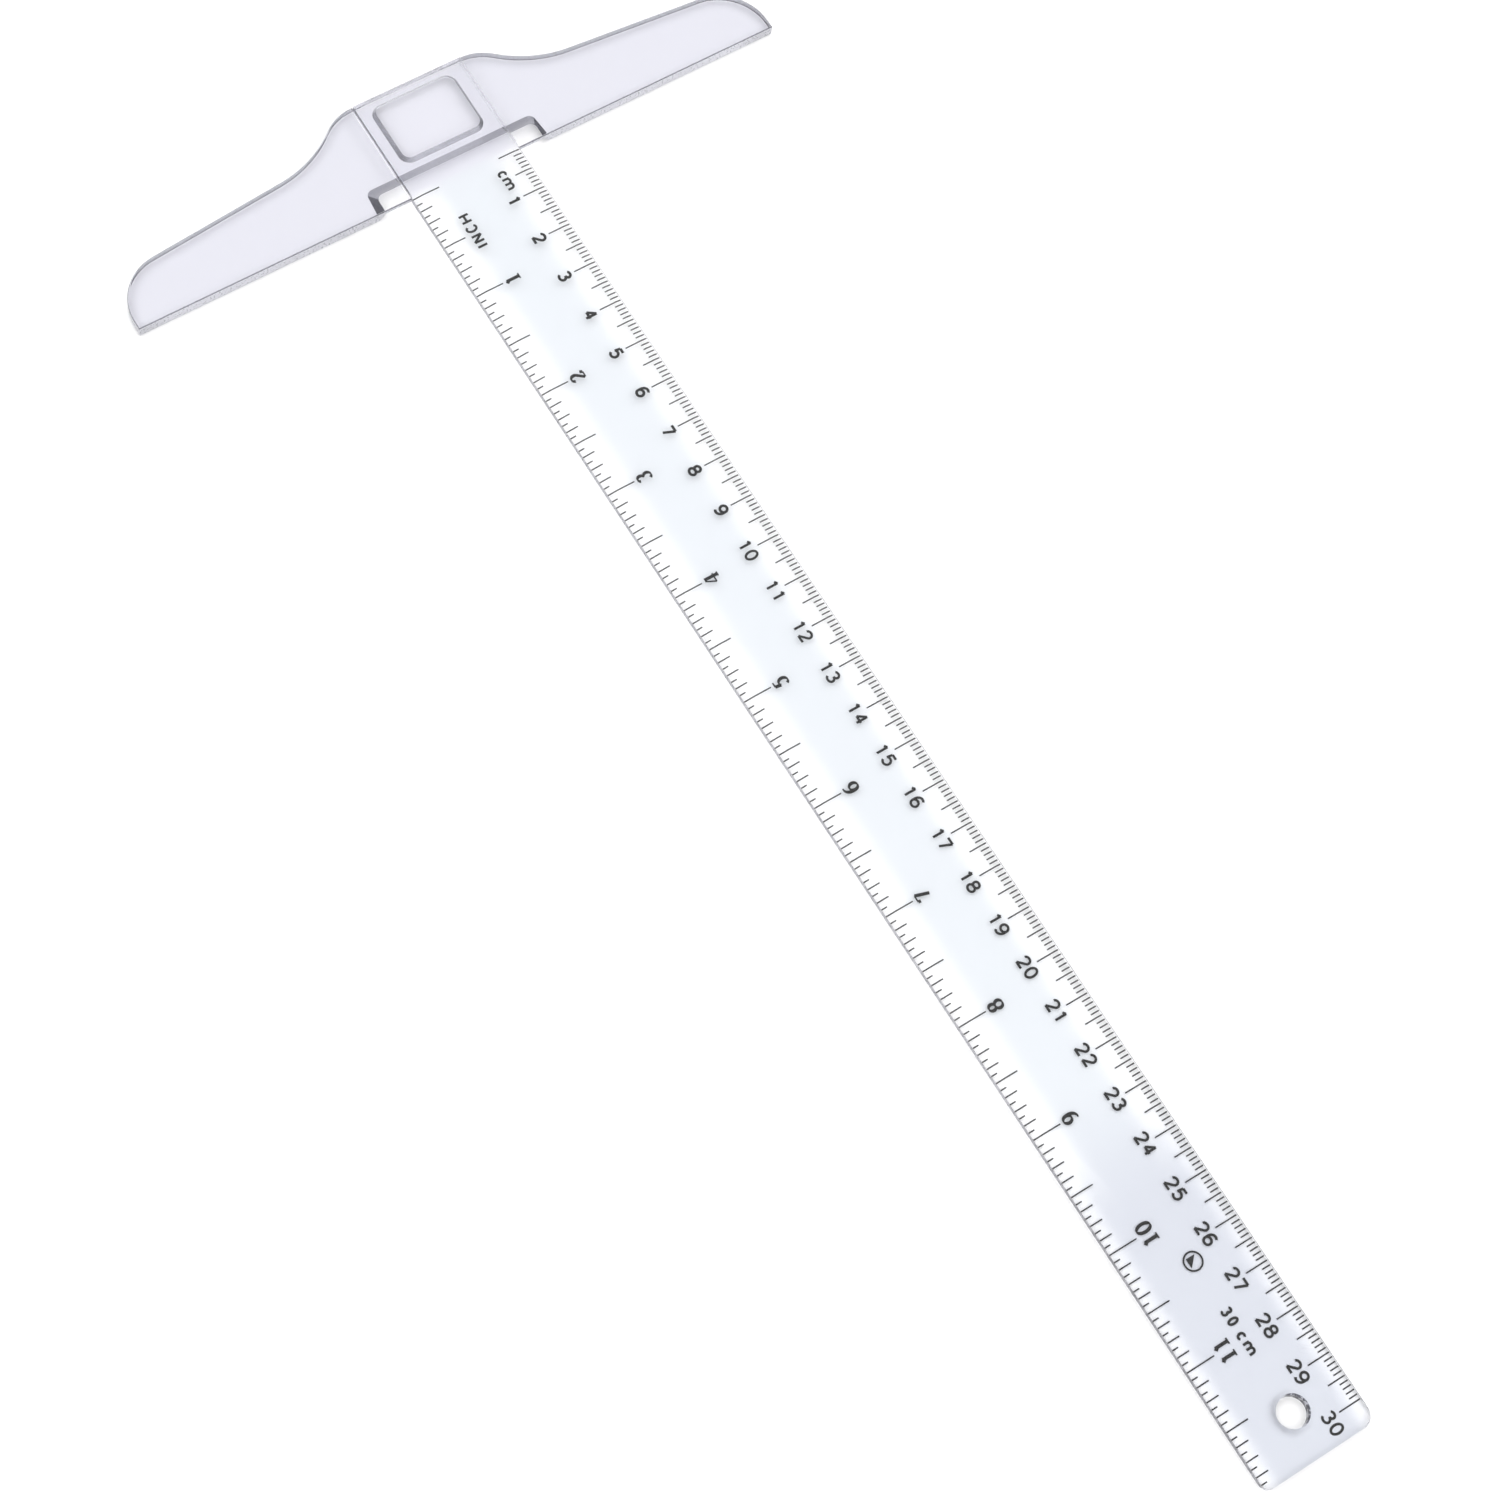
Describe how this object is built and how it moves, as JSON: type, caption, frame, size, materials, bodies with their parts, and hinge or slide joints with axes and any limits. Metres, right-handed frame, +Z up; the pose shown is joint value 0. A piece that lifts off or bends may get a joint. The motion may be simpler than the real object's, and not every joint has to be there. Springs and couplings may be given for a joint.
{
  "type": "t square",
  "caption": "Clear plastic T-square: a bevelled ruler blade set across a winged head, with centimetre and inch scales printed under it and a hang hole at its free end.",
  "frame": {"origin": "where the plane of the head's working edge, the blade's centreline and the flat underside of the blade meet: the zero of both scales, on the drawing board's arris in use", "axes": "+X along the blade, from the head to the free end; +Y across the blade, to the centimetre edge; +Z up, out of the drawing board"},
  "size_m": [0.3292, 0.15, 0.0037],
  "materials": {
    "head_clear": "clear injection-moulded styrene, polished",
    "blade_clear": "clear injection-moulded styrene, polished",
    "cement": "dried solvent cement, clear",
    "black_ink": "opaque black screen print"
  },
  "bodies": {
    "root": {"head": "head_clear", "blade": "blade_clear", "cement_film": "cement", "cm_graduations": "black_ink", "cm_numerals": "black_ink", "cm_label": "black_ink", "inch_graduations": "black_ink", "inch_numerals": "black_ink", "inch_label": "black_ink", "plain_mark": "black_ink", "size_label": "black_ink"}
  },
  "joints": []
}
